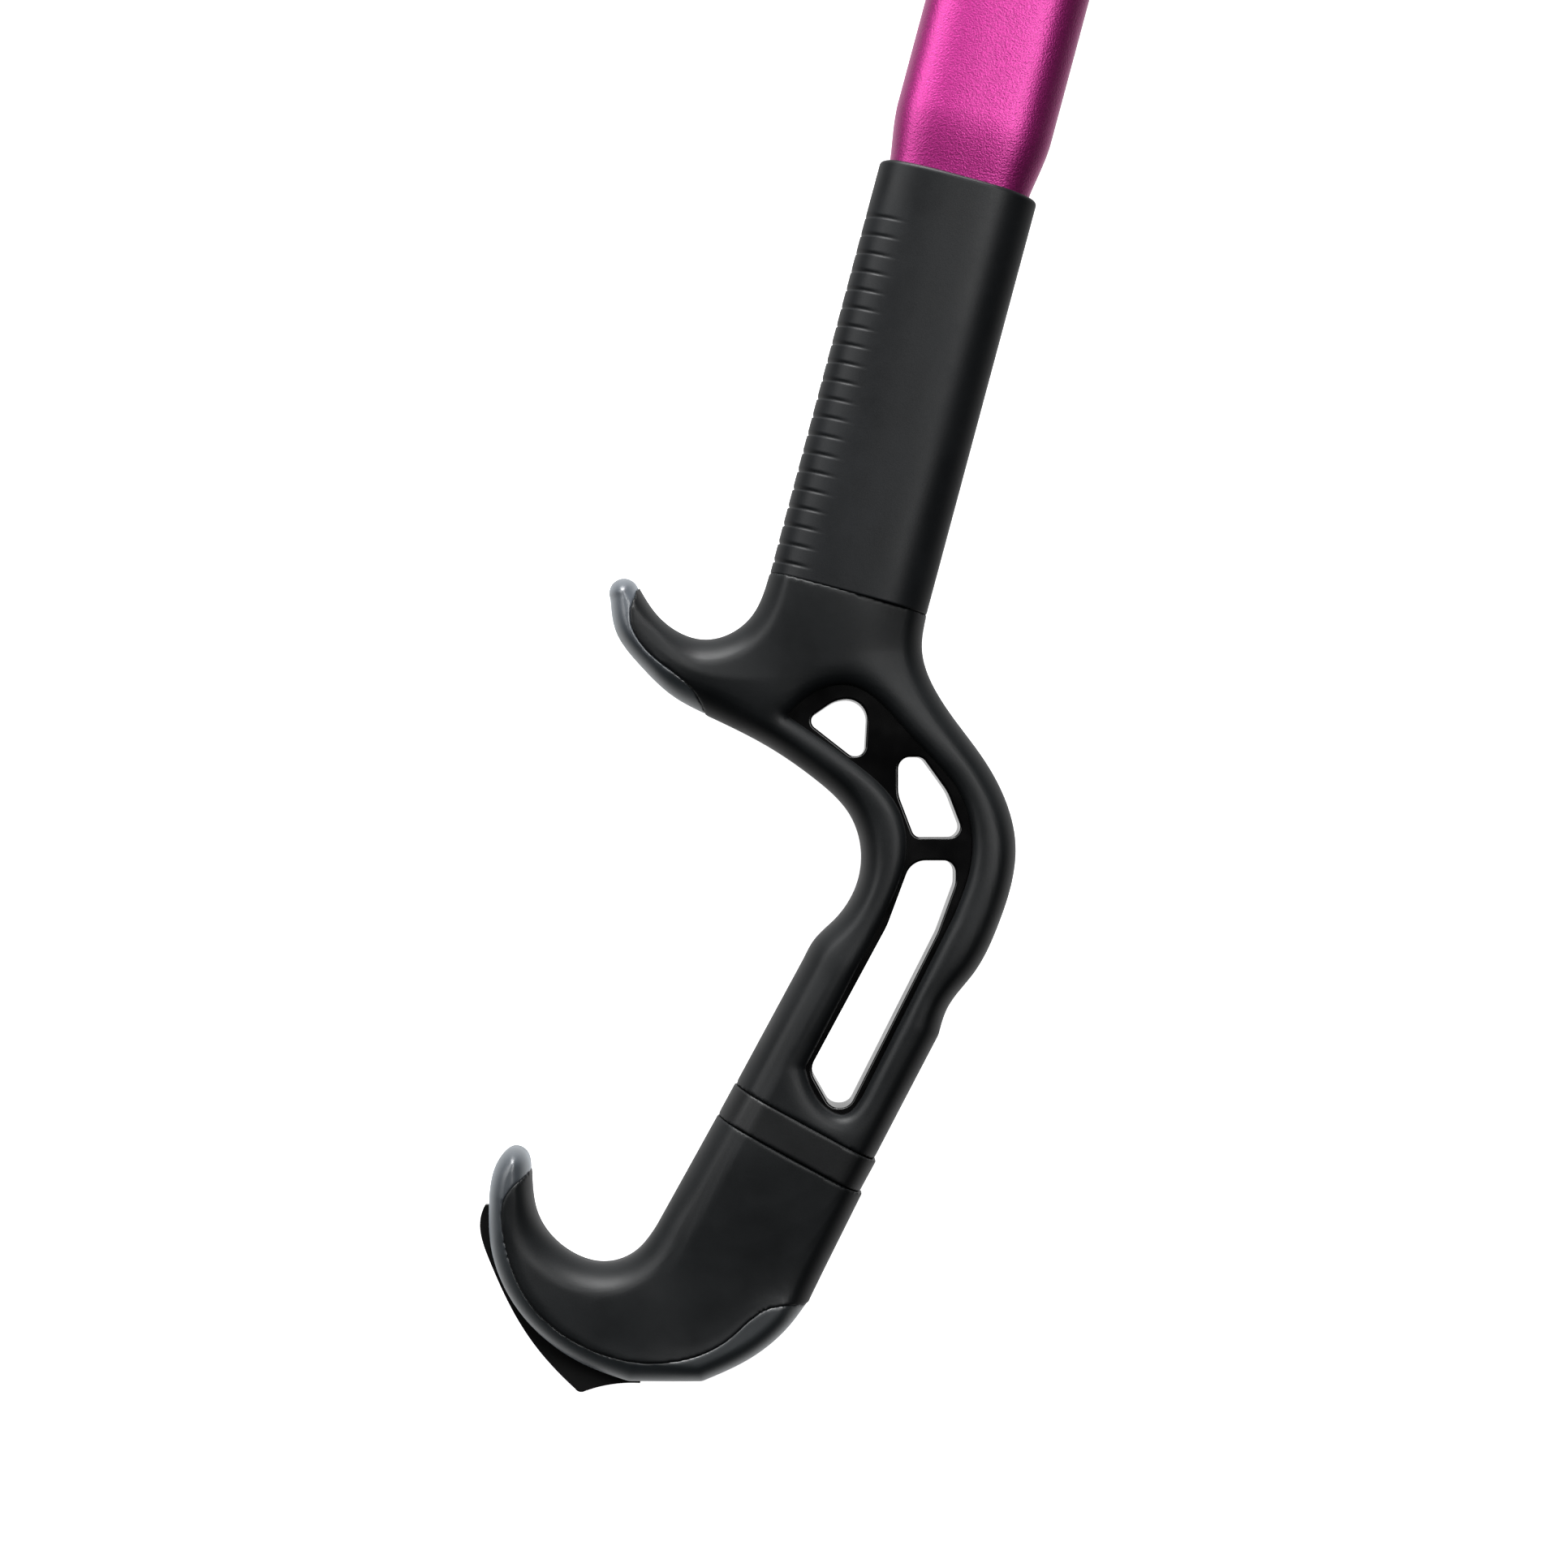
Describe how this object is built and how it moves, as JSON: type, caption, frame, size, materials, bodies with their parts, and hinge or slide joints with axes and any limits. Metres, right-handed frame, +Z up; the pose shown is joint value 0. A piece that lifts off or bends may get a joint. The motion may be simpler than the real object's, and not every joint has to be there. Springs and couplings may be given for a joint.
{
  "type": "ice axe",
  "caption": "Technical ice tool with a bent tubular shaft, windowed rubber handle with hooked rests, spacer, spiked pommel, toothed pick and small hammer.",
  "frame": {"origin": "middle of the bottom face of the whole tool's box, with the tool lying flat on its side", "axes": "+Y from the spike to the head, +Z up through the thickness, -X the side that the pick and the hooks point to"},
  "size_m": [0.1844, 0.5328, 0.03],
  "materials": {
    "shaft": "magenta anodised, fine orange peel, satin",
    "sleeve_rubber": "matt moulded rubber with finger ribs",
    "grip_rubber": "matt moulded rubber",
    "core_plastic": "black glass-filled nylon, fine grain",
    "bumper_plastic": "blue-black semi-gloss plastic",
    "spacer_plastic": "satin black plastic",
    "steel": "ground steel",
    "screw_steel": "black oxide steel",
    "spike_steel": "black coated steel, satin",
    "head_metal": "black coated forged alloy, satin",
    "rivet_metal": "turned aluminium",
    "pick_steel": "ground chromoly steel",
    "hammer_steel": "ground steel"
  },
  "bodies": {
    "tool": {"shaft_tube": "shaft", "upper_grip_sleeve": "sleeve_rubber", "handle_core": "core_plastic", "handle_grip": "grip_rubber", "handle_pins": "steel", "upper_rest_bumper": "bumper_plastic", "pommel_nut": "steel", "head": "head_metal", "head_rivets": "rivet_metal", "pick": "pick_steel", "hammer": "hammer_steel", "head_bolts": "screw_steel", "head_nuts": "screw_steel"},
    "spacer": {"grip_spacer": "spacer_plastic"},
    "pommel": {"pommel_core": "core_plastic", "pommel_grip": "grip_rubber", "pommel_bumper": "bumper_plastic", "spike_plate": "spike_steel", "spike_pins": "steel", "guide_rods": "steel"},
    "screw": {"pommel_screw": "screw_steel"}
  },
  "joints": [
    {"name": "pommel_slide", "type": "slide", "parent": "tool", "child": "pommel", "axis": [-0.4772, -0.8788, 0], "range_m": [0, 0.032]},
    {"name": "spacer_slide", "type": "slide", "parent": "tool", "child": "spacer", "axis": [-0.4772, -0.8788, 0], "range_m": [0, 0.016]},
    {"name": "screw_turn", "type": "hinge", "parent": "pommel", "child": "screw", "pos_m": [-0.00802, -0.2075, 0.015], "axis": [-0.4772, -0.8788, 0], "continuous": true}
  ],
  "couplings": [
    {"joint": "spacer_slide", "follows": "pommel_slide", "ratio": 0.5}
  ]
}
